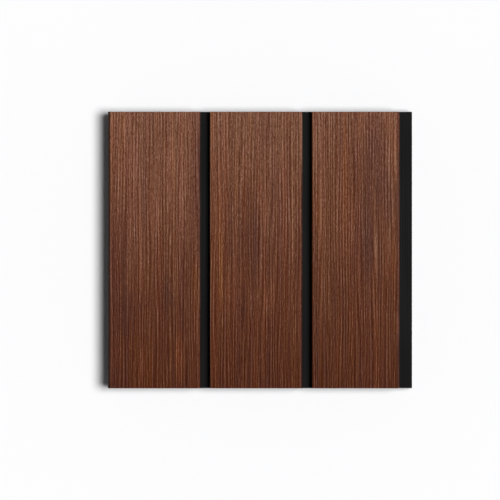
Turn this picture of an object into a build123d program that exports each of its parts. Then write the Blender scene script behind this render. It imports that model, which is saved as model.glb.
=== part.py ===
"""A length of slatted wall panel.

One black foamed-polystyrene extrusion carries three raised slats, and a walnut-print film is wrapped over each.
X runs across the slats, from the rebated edge to the tongue, and Y runs along them. Z stands out of the wall,
from the glue face at zero to the faces of the slats.
"""

import os

from build123d import *

# Driving dimensions, in millimetres
panel_length = 110.9  # cut length, along the slats
panel_thickness = 12.0  # glue face to slat face, over the film
web_thickness = 7.5  # plate behind the grooves, which runs on as the tongue
slat_count = 3
slat_width = 37.0  # over the film, every slat but the last
end_slat_width = 35.1  # over the film, the slat beside the tongue
groove_width = 3.9  # clear between two wrapped flanks
lap_width = 1.2  # share of the tongue that the next panel's first slat covers
lap_clearance = 0.2  # play in the lap, sideways and in height
film_thickness = 0.25
film_foot_gap = 0.3  # from the groove's root radius up to the film's cut edge
slat_arris_radius = 0.4  # front edges of the extruded slat, under the film
groove_root_radius = 0.5
tongue_nose_radius = 0.6  # lead-in at the front edge of the tongue
keys_per_slat = 4
key_mouth_width = 3.0  # glue keys: shallow flutes along the back
key_floor_width = 2.2
key_depth = 0.8

# What follows from them
slat_widths = [slat_width] * (slat_count - 1) + [end_slat_width]
tongue_width = groove_width + lap_width
panel_width = sum(slat_widths) + groove_width * (slat_count - 1) + tongue_width
left_edge = -panel_width / 2
tongue_edge = panel_width / 2
rebate_width = lap_width + lap_clearance
lip_underside = web_thickness + lap_clearance
film_foot = web_thickness + groove_root_radius + film_foot_gap
core_top = panel_thickness - film_thickness

FROM_CORNER = (Align.MIN, Align.MIN)


def slat_spans():
    """The left edge and the width of each slat, over its film."""
    left = left_edge
    for width in slat_widths:
        yield left, width
        left += width + groove_width


def slat_outline(left, width, foot, top, arris_radius):
    """Section of a slat: a rectangle with its two front corners rounded."""
    block = Pos(left, foot) * Rectangle(width, top - foot, align=FROM_CORNER)
    return fillet(block.vertices().group_by(Axis.Y)[-1], arris_radius)


def core_slat_outline(left, width, foot):
    """Section of the extruded slat, inside its film."""
    core_left = left + film_thickness
    core_width = width - 2 * film_thickness
    return slat_outline(core_left, core_width, foot, core_top, slat_arris_radius)


def rounded_web(section):
    """The section with its groove roots and the tongue's nose rounded."""
    at_web_face = section.vertices().filter_by_position(Axis.Y, web_thickness, web_thickness)
    nose = at_web_face.sort_by(Axis.X)[-1]
    section = fillet(nose, tongue_nose_radius)
    at_web_face = section.vertices().filter_by_position(Axis.Y, web_thickness, web_thickness)
    roots = at_web_face.sort_by(Axis.X)[:-1]
    return fillet(roots, groove_root_radius)


def glue_keys():
    """Sections of the flutes in the glue face, spread evenly behind each slat."""
    half_mouth, half_floor = key_mouth_width / 2, key_floor_width / 2
    flute = Polygon(
        (-half_mouth, 0),
        (half_mouth, 0),
        (half_floor, key_depth),
        (-half_floor, key_depth),
        align=None,
    )
    for left, width in slat_spans():
        pitch = width / keys_per_slat
        for index in range(keys_per_slat):
            yield Pos(left + (index + 0.5) * pitch, 0) * flute


def core_section():
    """Section of the black extrusion: web, slats and tongue, less the rebate and the glue keys."""
    web_left = left_edge + film_thickness
    section = Pos(web_left, 0) * Rectangle(tongue_edge - web_left, web_thickness, align=FROM_CORNER)
    for left, width in slat_spans():
        section += core_slat_outline(left, width, 0)
    section = rounded_web(section)
    section -= Pos(left_edge, 0) * Rectangle(rebate_width, lip_underside, align=FROM_CORNER)
    for key in glue_keys():
        section -= key
    return section


def film_section(left, width):
    """Section of one film: over the slat's face, round its front edges and down its flanks."""
    film_radius = slat_arris_radius + film_thickness
    wrapped = slat_outline(left, width, film_foot, panel_thickness, film_radius)
    return wrapped - core_slat_outline(left, width, film_foot)


def extruded(section):
    """A section drawn in the XZ plane, run along the slats to both cut ends."""
    return extrude(Plane.XZ * section, amount=panel_length / 2, both=True)


def build():
    """Every piece of the panel, by its node's name."""
    pieces = {"panel_core": extruded(core_section())}
    for number, (left, width) in enumerate(slat_spans(), start=1):
        pieces[f"slat_film_{number}"] = extruded(film_section(left, width))
    return pieces


os.makedirs("parts", exist_ok=True)
for name, piece in build().items():
    piece.label = name
    export_step(piece, f"parts/{name}.step")
    print(name, "volume", round(piece.volume, 1), "mm3")
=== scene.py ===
from math import exp, radians, tau
import bmesh
import bpy
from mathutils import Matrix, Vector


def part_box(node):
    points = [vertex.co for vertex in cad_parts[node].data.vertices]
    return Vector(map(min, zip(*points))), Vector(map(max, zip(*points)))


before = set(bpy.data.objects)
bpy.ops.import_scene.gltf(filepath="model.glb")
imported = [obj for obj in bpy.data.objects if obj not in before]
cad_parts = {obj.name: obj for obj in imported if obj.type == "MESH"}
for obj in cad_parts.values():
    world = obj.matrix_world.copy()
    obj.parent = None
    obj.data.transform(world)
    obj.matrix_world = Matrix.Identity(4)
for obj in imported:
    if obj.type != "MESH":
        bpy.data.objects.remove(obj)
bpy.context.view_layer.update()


# Body of the panel: web, slats and tongue, extruded as one length of black foamed polystyrene.
# The die leaves a satin skin with faint lines along it, and the saw opens the foam's cells at both ends.
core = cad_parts["panel_core"]
MM = 0.001
half_length = float(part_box("panel_core")[1][1])
skin_black = (0.0046, 0.0042, 0.0043, 1.0)
skin_bloom = (0.0084, 0.0077, 0.0078, 1.0)
cut_black = (0.0050, 0.0046, 0.0046, 1.0)
cut_grey = (0.0260, 0.0245, 0.0245, 1.0)
die_line_cell = (0.45 * MM, 90 * MM, 0.45 * MM)
bloom_cell = (7 * MM, 30 * MM, 7 * MM)
saw_line_cell = (14 * MM, 1.0, 0.22 * MM)
die_line_layer, bloom_layer, saw_line_layer = 1, 2, 3
bloom_spread = 2.5
saw_line_share = 0.12
foam_cells_per_metre = 2400
cut_depth = 0.02 * MM
skin_relief = 0.03 * MM
skin_bump_strength = 0.35
cell_sink = -4.0
skin_roughness = 0.62
cut_roughness = 0.9
skin_gloss = 0.06
streak_gain = 7.2
layer_shift = (13.7, 5.3)
noise_height = 0.5


def wired(tree, kind, *sources, give=0, **settings):
    """One output of a new node, whose inputs in order are linked to sockets or set to values."""
    made = tree.nodes.new(kind)
    for name, value in settings.items():
        setattr(made, name, value)
    for entry, source in zip(made.inputs, sources):
        if isinstance(source, bpy.types.NodeSocket):
            tree.links.new(source, entry)
        elif source is not None:
            entry.default_value = source
    return made.outputs[give]


def drawn_streaks():
    """A node group: noise drawn out along the panel, about zero and with a spread of about one."""
    group = bpy.data.node_groups.new("drawn_streaks", "ShaderNodeTree")
    for name in ("Place", "Cell", "Shift"):
        group.interface.new_socket(name, in_out="INPUT", socket_type="NodeSocketVector")
    group.interface.new_socket("Streak", in_out="OUTPUT", socket_type="NodeSocketFloat")
    entry = group.nodes.new("NodeGroupInput")
    leave = group.nodes.new("NodeGroupOutput")
    place, cell, shift = (entry.outputs[name] for name in ("Place", "Cell", "Shift"))
    cells = wired(group, "ShaderNodeVectorMath", place, cell, operation="DIVIDE")
    moved = wired(group, "ShaderNodeVectorMath", cells, shift, operation="ADD")
    noise = wired(group, "ShaderNodeTexNoise", moved, None, 1.0, 0.0)
    centred = wired(group, "ShaderNodeMath", noise, streak_gain, -streak_gain / 2, operation="MULTIPLY_ADD")
    group.links.new(centred, leave.inputs["Streak"])
    return group


streak_group = drawn_streaks()


def streak(tree, place, cell, number):
    """One layer of streaks, with its own cell size and its own stretch of the noise."""
    layer = tree.nodes.new("ShaderNodeGroup")
    layer.node_tree = streak_group
    tree.links.new(place, layer.inputs["Place"])
    layer.inputs["Cell"].default_value = cell
    layer.inputs["Shift"].default_value = (layer_shift[0] * number, layer_shift[1] * number, noise_height)
    return layer.outputs["Streak"]


def mixed(tree, share, first, second):
    """A colour between two others."""
    made = tree.nodes.new("ShaderNodeMix")
    made.data_type = "RGBA"
    for name, source in (("Factor_Float", share), ("A_Color", first), ("B_Color", second)):
        entry = next(socket for socket in made.inputs if socket.identifier == name)
        if isinstance(source, bpy.types.NodeSocket):
            tree.links.new(source, entry)
        else:
            entry.default_value = source
    return next(socket for socket in made.outputs if socket.identifier == "Result_Color")


def extruded_black():
    """Satin black skin, and open foam cells with saw lines where the length was cut."""
    material = bpy.data.materials.new("extruded_black")
    material.use_nodes = True
    tree = material.node_tree
    shader = tree.nodes["Principled BSDF"]
    place = tree.nodes.new("ShaderNodeTexCoord").outputs["Object"]

    die_lines = streak(tree, place, die_line_cell, die_line_layer)
    bloom = streak(tree, place, bloom_cell, bloom_layer)
    lines_and_bloom = wired(tree, "ShaderNodeMath", die_lines, bloom, operation="ADD")
    paleness = wired(tree, "ShaderNodeMapRange", lines_and_bloom, -bloom_spread, bloom_spread, 0.0, 1.0)
    skin = mixed(tree, paleness, skin_black, skin_bloom)

    foam = wired(tree, "ShaderNodeTexVoronoi", place, None, foam_cells_per_metre)
    saw_lines = streak(tree, place, saw_line_cell, saw_line_layer)
    openness = wired(tree, "ShaderNodeMath", saw_lines, saw_line_share, foam, operation="MULTIPLY_ADD")
    cut = mixed(tree, openness, cut_grey, cut_black)

    along = wired(tree, "ShaderNodeSeparateXYZ", place, give=1)
    from_middle = wired(tree, "ShaderNodeMath", along, operation="ABSOLUTE")
    is_cut = wired(tree, "ShaderNodeMath", from_middle, half_length - cut_depth, operation="GREATER_THAN")
    tree.links.new(mixed(tree, is_cut, skin, cut), shader.inputs["Base Color"])
    roughness = wired(tree, "ShaderNodeMapRange", is_cut, 0.0, 1.0, skin_roughness, cut_roughness)
    tree.links.new(roughness, shader.inputs["Roughness"])

    cut_height = wired(tree, "ShaderNodeMath", openness, cell_sink, operation="MULTIPLY")
    height = wired(tree, "ShaderNodeMapRange", is_cut, 0.0, 1.0, die_lines, cut_height)
    bump = tree.nodes.new("ShaderNodeBump")
    bump.inputs["Strength"].default_value = skin_bump_strength
    bump.inputs["Distance"].default_value = skin_relief
    tree.links.new(height, bump.inputs["Height"])
    tree.links.new(bump.outputs["Normal"], shader.inputs["Normal"])
    shader.inputs["Specular IOR Level"].default_value = skin_gloss
    return material


for core_slot in core.material_slots:
    core_slot.material = extruded_black()


# Films: walnut-print film, laminated over each slat's face, round its front edges and down both flanks.
# The print is fine ruled grain with pores over broad patches and stripes, lightly embossed and satin; a few
# long stripes along the front edges are painted shade and a painted highlight.
# It is lighter at one end and darker at the other, a painted light and shade along the length, and painted
# shade darkens the edge that laps over the next panel.
walnut_brown = (0.1199, 0.0417, 0.0223)
tone_gain = (0.224, 0.313, 0.366)
gloss_share = 0.002
tone_span, tone_stops = 4.0, 9
# Painted light and shade along the length: tone at the lighter end and at the darker end.
painted_light_end, painted_shade_end = 1.78, -1.82
# Unbroken ruled lines: pitch, length over which they wander, how far, strength in tone.
steady_lines = [
    (1.10 * MM, 50 * MM, 2.2, 1.12),
    (1.22 * MM, 120 * MM, 1.2, 0.66),
]
# Ruled lines in short pieces: pitch, size of the pieces, strength in tone.
broken_lines = [
    (1.22 * MM, (1.6 * MM, 14 * MM, 1.6 * MM), 0.36),
    (1.02 * MM, (1.2 * MM, 3.0 * MM, 1.2 * MM), 0.60),
]
wander_width = 2.8 * MM
broken_wander_length = 1.0
broken_swing = 1.3
# Strength of the ruled lines and of the short marks, at the dark end and at the pale end.
ruling_ends = (1.22, 0.97)
fine_ends = (0.56, 1.14)
# Bands of grain, and below them layers of warmth: width, length, strength.
grain_bands = [
    (1.0 * MM, 104 * MM, 0.12),
    (1.7 * MM, 46 * MM, 0.12),
]
fibre_cell = (0.24 * MM, 0.8 * MM, 0.24 * MM)
fibre_strength = 0.5
pore_cell = (0.30 * MM, 1.8 * MM, 0.30 * MM)
pore_strength = -1.6
fleck_cell = (0.30 * MM, 0.9 * MM, 0.30 * MM)
fleck_strength = 1.3
stroke_start, stroke_full = 1.0, 1.6
warmth_layers = [
    (1.5 * MM, 50 * MM, 0.50),
    (8.0 * MM, 60 * MM, 0.14),
]
warm_tone, warm_hue, warm_depth = 0.58, 0.001, 0.05
olive_cell = (2.4 * MM, 60 * MM, 2.4 * MM)
olive_hue = 0.0014
steady_layer, broken_layer, break_layer = 1, 11, 15
band_layer, fibre_layer, pore_layer, fleck_layer = 5, 8, 24, 25
warmth_layer, olive_layer = 9, 21
# Painted shade along the edge that laps over the next panel: dark brown mixed over the film at the first
# slat's left front edge and down its flank.
lap_shade_middle, lap_shade_size = (-61.0, 0.0, 12.0), (0.95, 400.0, 40.0)
lap_painted_shade_brown, lap_shade_share = (0.026, 0.0125, 0.0090, 1.0), 0.92
lap_shade_fade = 0.3
film_relief = 0.02 * MM
film_bump_strength = 0.2
film_roughness, pore_roughness = 0.17, 0.28
film_gloss = 0.04
any_height = 1000.0
# Patches and stripes in millimetres: middle, half size, then lift in tone, warmth and turn towards olive.
broad_patches = [
    ((-57.5, -10.0), (4.6, 34), -0.1, -0.8, 0.0),
    ((-57.0, -54.0), (4.0, 10), 0.0, -1.0, 0.0),
    ((-52.8, -26.0), (5.4, 12), -0.1, -1.3, 0.0),
    ((-50.0, 36.0), (2.4, 16), 0.5, 0.0, 0.0),
    ((-46.2, -49.0), (3.0, 12), 0.1, 0.7, 0.0),
    ((-46.0, -21.0), (3.4, 17), 0.0, -0.7, 0.0),
    ((-46.0, 6.0), (3.2, 22), 0.1, -0.1, 0.0),
    ((-46.0, 32.0), (2.6, 18), 0.0, 0.6, 0.0),
    ((-42.5, 39.0), (3.6, 18), -0.1, 0.0, 1.5),
    ((-42.5, 18.0), (22, 34), 0.55, 0.0, 0.0),
    ((-38.9, 0.0), (1.8, 32), -0.5, -0.2, 0.0),
    ((-36.9, -18.5), (2.6, 11), 0.0, -1.3, 0.0),
    ((-34.5, 36.0), (2.6, 14), 0.2, 0.8, 0.0),
    ((-32.1, 16.0), (1.8, 14), -0.3, 0.2, 0.0),
    ((-32.1, -42.5), (3.4, 13), 0.1, 1.3, 0.0),
    ((-26.2, -14.0), (1.8, 14), -0.4, 0.9, 3.0),
    ((-24.6, 27.0), (3.0, 36), -0.3, -1.2, 0.0),
    ((-18.4, -44.0), (2.4, 18), 0.0, 0.8, 0.0),
    ((-16.8, 4.0), (4.8, 40), -0.2, 1.5, 0.8),
    ((-12.2, -16.0), (2.6, 16), 0.3, 0.8, 0.0),
    ((-12.0, 46.0), (3.0, 10), -0.4, -0.2, 0.0),
    ((-6.8, -23.0), (2.6, 11), -0.1, -1.4, 0.0),
    ((-6.0, -43.0), (4.4, 14), 0.0, -0.5, 0.0),
    ((-5.4, 25.0), (2.6, 10), -0.4, -0.4, 0.0),
    ((-3.4, 4.0), (5.0, 23), -0.3, -1.8, 0.0),
    ((3.2, 11.0), (2.8, 12), 0.4, 0.0, 0.0),
    ((4.0, 36.0), (3.4, 10), 0.4, 0.3, 0.0),
    ((4.2, -19.0), (3.0, 10), 0.3, 0.7, 0.0),
    ((7.0, 48.0), (4.0, 12), 0.0, 0.0, 2.5),
    ((12.0, 40.0), (1.6, 20), -0.5, -0.4, 0.0),
    ((21.6, 28.0), (1.6, 11), 0.0, 0.0, 2.5),
    ((22.0, 42.0), (2.0, 16), 0.7, 0.0, 0.6),
    ((23.0, 16.0), (2.2, 12), -0.3, 0.6, 0.0),
    ((24.0, -50.0), (4.5, 10), -0.4, -0.2, 0.0),
    ((24.6, 28.0), (4.0, 30), 0.1, 0.8, 0.4),
    ((33.2, 19.0), (5.6, 37), 0.1, 0.8, 0.0),
    ((38.5, 38.0), (20, 28), -0.5, 0.0, 0.0),
    ((42.6, 6.0), (4.6, 22), -0.1, -1.2, 0.0),
    ((46.4, 36.0), (7.0, 20), -0.1, -1.5, 0.0),
    ((50.6, 21.0), (4.8, 13), -0.1, -1.0, 0.0),
    ((53.0, -3.5), (3.0, 11), 0.1, 0.9, 0.0),
    ((54.0, -44.0), (3.0, 16), 0.0, -0.6, 0.0),
    ((54.8, 36.0), (1.8, 14), 0.0, 0.5, 0.0),
]
# Among the fine stripes, four long ones along the slats' front edges are painted: shade on the right edges
# of all three slats, a highlight on the middle slat's left edge.
grain_stripes_and_painted_edges = [
    ((-17.3, 16.0), (1.0, 19), 0.0, 0.4, 1.5),
    ((-54.4, 47.4), (0.6, 9), 1.6, 0.6, 0.0),
    ((-55.3, 45.0), (0.5, 10), -1.0, 0.0, 0.0),
    ((-53.4, -46.5), (0.6, 10), 0.7, 0.0, 0.0),
    ((-47.8, -11.0), (0.6, 11), 0.9, 0.6, 0.0),
    ((-47.4, -45.5), (0.7, 11), 1.3, 0.7, 0.0),
    ((-44.5, -14.0), (1.2, 8), 0.6, 0.6, 0.0),
    ((-41.1, 13.0), (0.6, 9), 1.0, 0.5, 0.0),
    ((-38.1, 47.0), (0.9, 9), -0.8, -0.3, 0.0),
    ((-34.1, -14.0), (0.5, 11), 1.0, 0.0, 0.0),
    ((-33.3, -43.0), (0.6, 9), 0.8, 0.8, 0.0),
    ((-31.3, -15.0), (0.6, 11), 1.0, 0.3, 0.0),
    ((-31.3, -46.0), (0.6, 10), 1.2, 0.7, 0.0),
    # Painted shade along the first slat's right front edge.
    ((-24.0, 30.0), (0.8, 130), -2.6, 0.0, 0.0),
    # Painted highlight along the middle slat's left front edge.
    ((-20.1, -5.0), (0.6, 110), 2.4, 0.0, 0.0),
    ((-18.9, -16.0), (0.6, 9), 0.7, -0.3, 0.0),
    ((-15.7, -14.0), (0.6, 14), 0.7, 0.8, 0.0),
    ((-12.4, -12.0), (0.7, 12), 0.6, 0.5, 0.0),
    ((-8.0, 27.0), (1.2, 9), 0.5, 0.3, 0.0),
    ((-3.6, -21.0), (0.5, 9), 1.6, -0.6, 0.0),
    ((-3.2, -44.0), (0.5, 13), 1.2, 0.0, 0.0),
    ((2.0, 14.0), (0.7, 11), 0.6, 0.4, 0.0),
    ((2.4, -21.0), (0.6, 8), 0.9, 0.6, 1.0),
    ((4.8, -18.0), (0.7, 7), 0.5, 0.4, 0.0),
    ((8.4, 32.0), (0.6, 9), 0.6, 0.5, 0.0),
    ((12.8, 44.0), (0.6, 9), 1.2, 0.9, 0.0),
    ((13.2, 14.0), (0.6, 28), 1.3, 0.4, 0.5),
    ((14.0, -34.0), (0.5, 22), 1.0, 0.2, 0.0),
    ((16.2, 0.0), (1.2, 60), -0.7, -0.4, 0.0),
    # Painted shade along the middle slat's right front edge.
    ((16.5, -60.0), (0.7, 110), -2.2, 0.0, 0.0),
    ((33.3, -45.0), (0.8, 11), 0.6, 0.5, 0.0),
    ((37.3, 10.0), (1.0, 15), 0.8, 0.6, 0.0),
    ((44.1, -44.0), (0.5, 12), 1.1, -0.6, 0.0),
    ((46.3, -2.4), (0.6, 15), 2.0, 0.6, 0.0),
    ((46.8, -25.0), (0.5, 9), 0.8, 0.2, 0.0),
    ((50.6, -17.0), (0.6, 8), -1.4, 0.0, 0.0),
    ((51.6, 35.5), (0.6, 10), 1.5, 0.6, 0.8),
    ((51.8, 4.0), (0.6, 9), 1.2, 0.5, 0.8),
    ((52.0, -45.0), (0.5, 10), 0.8, 0.6, 0.0),
    ((52.6, -8.0), (1.2, 7), -0.1, 0.6, -3.0),
    ((54.2, 38.0), (0.7, 11), 0.9, 0.9, -1.0),
    # Painted shade along the last slat's right front edge.
    ((55.8, 0.0), (0.7, 140), -2.8, 0.0, 0.0),
]


def spindle(tree, place, middle, half_size):
    """One at the middle of a long spindle, falling to zero at its outline; sizes in millimetres."""
    centre = tuple(value * MM for value in middle)
    reach = tuple(value * MM for value in half_size)
    from_middle = wired(tree, "ShaderNodeVectorMath", place, centre, operation="SUBTRACT")
    in_sizes = wired(tree, "ShaderNodeVectorMath", from_middle, reach, operation="DIVIDE")
    squared = wired(tree, "ShaderNodeVectorMath", in_sizes, in_sizes, operation="DOT_PRODUCT", give=1)
    return wired(tree, "ShaderNodeMath", 1.0, squared, operation="SUBTRACT", use_clamp=True)


def ruled(tree, across, period, wander, swing):
    """Fine dark and light lines along the slat, whose pitch follows a wandering value."""
    turn = wired(tree, "ShaderNodeMath", across, tau / period, operation="MULTIPLY")
    phase = wired(tree, "ShaderNodeMath", wander, swing, turn, operation="MULTIPLY_ADD")
    return wired(tree, "ShaderNodeMath", phase, operation="SINE")


def strokes(tree, place, cell, number):
    """Short separate strokes along the slat: one inside a stroke and zero outside."""
    noise = streak(tree, place, cell, number)
    return wired(tree, "ShaderNodeMapRange", noise, stroke_start, stroke_full, 0.0, 1.0)


def walnut_print_painted_light():
    """The printed film: tone and warmth are built up in layers, with painted light and shade along the
    length and at the front edges, then turned into colour.
    """
    material = bpy.data.materials.new("walnut_print_painted_light")
    material.use_nodes = True
    tree = material.node_tree
    shader = tree.nodes["Principled BSDF"]
    place = tree.nodes.new("ShaderNodeTexCoord").outputs["Object"]
    x = wired(tree, "ShaderNodeSeparateXYZ", place, give=0)
    y = wired(tree, "ShaderNodeSeparateXYZ", place, give=1)
    z = wired(tree, "ShaderNodeSeparateXYZ", place, give=2)

    round_slat = wired(tree, "ShaderNodeMath", x, z, operation="ADD")
    ruling = 0.0
    for number, (period, length, swing, strength) in enumerate(steady_lines):
        wander = streak(tree, place, (wander_width, length, wander_width), steady_layer + number)
        lines = ruled(tree, round_slat, period, wander, swing)
        ruling = wired(tree, "ShaderNodeMath", lines, strength, ruling, operation="MULTIPLY_ADD")
    for number, (period, cell, strength) in enumerate(broken_lines):
        wander_cell = (wander_width, broken_wander_length, wander_width)
        wander = streak(tree, place, wander_cell, broken_layer + number)
        lines = ruled(tree, round_slat, period, wander, broken_swing)
        breaks = streak(tree, place, cell, break_layer + number)
        pieces = wired(tree, "ShaderNodeMath", lines, breaks, operation="MULTIPLY")
        ruling = wired(tree, "ShaderNodeMath", pieces, strength, ruling, operation="MULTIPLY_ADD")
    ruling_share = wired(tree, "ShaderNodeMapRange", y, -half_length, half_length, *ruling_ends)
    grain_and_painted_edges = wired(tree, "ShaderNodeMath", ruling, ruling_share, operation="MULTIPLY")
    for number, (across, length, strength) in enumerate(grain_bands):
        band = streak(tree, place, (across, length, across), band_layer + number)
        grain_and_painted_edges = wired(tree, "ShaderNodeMath", band, strength, grain_and_painted_edges, operation="MULTIPLY_ADD")
    fibres = streak(tree, place, fibre_cell, fibre_layer)
    pores = strokes(tree, place, pore_cell, pore_layer)
    flecks = strokes(tree, place, fleck_cell, fleck_layer)
    fine = 0.0
    for layer, strength in ((fibres, fibre_strength), (pores, pore_strength), (flecks, fleck_strength)):
        fine = wired(tree, "ShaderNodeMath", layer, strength, fine, operation="MULTIPLY_ADD")
    fine_share = wired(tree, "ShaderNodeMapRange", y, -half_length, half_length, *fine_ends)
    grain_and_painted_edges = wired(tree, "ShaderNodeMath", fine, fine_share, grain_and_painted_edges, operation="MULTIPLY_ADD")

    warmth = 0.0
    for number, (across, length, strength) in enumerate(warmth_layers):
        tint = streak(tree, place, (across, length, across), warmth_layer + number)
        warmth = wired(tree, "ShaderNodeMath", tint, strength, warmth, operation="MULTIPLY_ADD")
    olive = streak(tree, place, olive_cell, olive_layer)
    for middle, half_size, lift, warm, green in broad_patches + grain_stripes_and_painted_edges:
        mask = spindle(tree, place, (*middle, 0.0), (*half_size, any_height))
        grain_and_painted_edges = wired(tree, "ShaderNodeMath", mask, lift, grain_and_painted_edges, operation="MULTIPLY_ADD")
        warmth = wired(tree, "ShaderNodeMath", mask, warm, warmth, operation="MULTIPLY_ADD")
        olive = wired(tree, "ShaderNodeMath", mask, green, olive, operation="MULTIPLY_ADD")
    grain_and_painted_edges = wired(tree, "ShaderNodeMath", warmth, warm_tone, grain_and_painted_edges, operation="MULTIPLY_ADD")
    # Painted light and shade: the tone rises along the length from the darker end to the lighter end.
    painted_light_drift = wired(tree, "ShaderNodeMapRange", y, -half_length, half_length, painted_shade_end, painted_light_end)
    tone = wired(tree, "ShaderNodeMath", painted_light_drift, grain_and_painted_edges, operation="ADD")

    ramp_place = wired(tree, "ShaderNodeMapRange", tone, -tone_span, tone_span, 0.0, 1.0)
    ramp = tree.nodes.new("ShaderNodeValToRGB")
    stops = ramp.color_ramp.elements
    while len(stops) < tone_stops:
        stops.new(0.5)
    for number, stop in enumerate(stops):
        stop.position = number / (tone_stops - 1)
        stop_tone = tone_span * (2 * stop.position - 1)
        inks = zip(walnut_brown, tone_gain)
        printed = [brown * exp(gain * stop_tone) - gloss_share for brown, gain in inks]
        stop.color = (*printed, 1.0)
    tree.links.new(ramp_place, ramp.inputs["Fac"])
    hue = wired(tree, "ShaderNodeMath", warmth, warm_hue, 0.5, operation="MULTIPLY_ADD")
    hue = wired(tree, "ShaderNodeMath", olive, olive_hue, hue, operation="MULTIPLY_ADD")
    depth = wired(tree, "ShaderNodeMath", warmth, warm_depth, 1.0, operation="MULTIPLY_ADD")
    turned = tree.nodes.new("ShaderNodeHueSaturation")
    tree.links.new(hue, turned.inputs["Hue"])
    tree.links.new(depth, turned.inputs["Saturation"])
    tree.links.new(ramp.outputs["Color"], turned.inputs["Color"])
    # Painted shade: dark brown mixed over the print along the lapping edge.
    lap_shade_mask = spindle(tree, place, lap_shade_middle, lap_shade_size)
    lap_shade_edge = wired(tree, "ShaderNodeMapRange", lap_shade_mask, 0.0, lap_shade_fade, 0.0, lap_shade_share)
    print_with_painted_shade = mixed(tree, lap_shade_edge, turned.outputs["Color"], lap_painted_shade_brown)
    tree.links.new(print_with_painted_shade, shader.inputs["Base Color"])

    roughness = wired(tree, "ShaderNodeMapRange", pores, 0.0, 1.0, film_roughness, pore_roughness)
    tree.links.new(roughness, shader.inputs["Roughness"])
    bump = tree.nodes.new("ShaderNodeBump")
    bump.inputs["Strength"].default_value = film_bump_strength
    bump.inputs["Distance"].default_value = film_relief
    sunken = wired(tree, "ShaderNodeMath", pores, -1.0, operation="MULTIPLY")
    tree.links.new(sunken, bump.inputs["Height"])
    tree.links.new(bump.outputs["Normal"], shader.inputs["Normal"])
    shader.inputs["Specular IOR Level"].default_value = film_gloss
    return material


film_material = walnut_print_painted_light()
for number in (1, 2, 3):
    for film_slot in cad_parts[f"slat_film_{number}"].material_slots:
        film_slot.material = film_material


# Floor: the plain white sheet that the panel lies on, glue face down.
# It is matt, and it shows the panel's shadow.
floor_half_width = 5.0
floor_white = (0.945, 0.945, 0.955, 1.0)
floor_drop = 0.01 * MM
floor_mesh = bpy.data.meshes.new("floor")
sheet = bmesh.new()
bmesh.ops.create_grid(sheet, x_segments=1, y_segments=1, size=floor_half_width)
bmesh.ops.translate(sheet, vec=(0.0, 0.0, -floor_drop), verts=sheet.verts)
sheet.to_mesh(floor_mesh)
sheet.free()
floor = bpy.data.objects.new("floor", floor_mesh)
bpy.context.scene.collection.objects.link(floor)
floor_material = bpy.data.materials.new("floor_sheet")
floor_material.use_nodes = True
floor_shader = floor_material.node_tree.nodes["Principled BSDF"]
floor_shader.inputs["Base Color"].default_value = floor_white
floor_shader.inputs["Roughness"].default_value = 1.0
floor_shader.inputs["Specular IOR Level"].default_value = 0.0
floor_mesh.materials.append(floor_material)


# Light: one large soft lamp above the panel, to the right, and a dim room.
# A white band low down all round stands for the cove behind the sheet, as bright as the lit sheet itself.
lamp_lean = radians(19.8)
lamp_spread = radians(25.6)
lamp_strength = 3.25
room_strength = 0.04
cove_strength = 0.96
cove_top, room_bottom = 0.04, 0.30
lamp_data = bpy.data.lights.new("soft_lamp", "SUN")
lamp_data.energy = lamp_strength
lamp_data.angle = lamp_spread
lamp = bpy.data.objects.new("soft_lamp", lamp_data)
lamp.rotation_euler = (0.0, lamp_lean, 0.0)
bpy.context.scene.collection.objects.link(lamp)
room = bpy.data.worlds.new("studio")
room.use_nodes = True
room_tree = room.node_tree
skyward = room_tree.nodes.new("ShaderNodeTexCoord").outputs["Generated"]
rise = wired(room_tree, "ShaderNodeSeparateXYZ", skyward, give=2)
glow = wired(room_tree, "ShaderNodeMapRange", rise, cove_top, room_bottom, cove_strength, room_strength)
backdrop = room_tree.nodes["Background"]
backdrop.inputs["Color"].default_value = (1.0, 1.0, 1.0, 1.0)
room_tree.links.new(glow, backdrop.inputs["Strength"])
bpy.context.scene.world = room


# Camera: straight above the panel, far off behind a long lens, so that next to nothing converges.
# The panel sits a little to the right of the picture's middle.
picture_width = 200.5 * MM
picture_middle = -4.05 * MM
lens_length, sensor_width = 800.0, 36.0
face_height = float(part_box("slat_film_1")[1][2])
camera_data = bpy.data.cameras.new("camera")
camera_data.lens = lens_length
camera_data.sensor_width = sensor_width
camera = bpy.data.objects.new("camera", camera_data)
camera.location = (picture_middle, 0.0, face_height + picture_width * lens_length / sensor_width)
bpy.context.scene.collection.objects.link(camera)
bpy.context.scene.camera = camera
bpy.context.scene.view_settings.view_transform = "Standard"
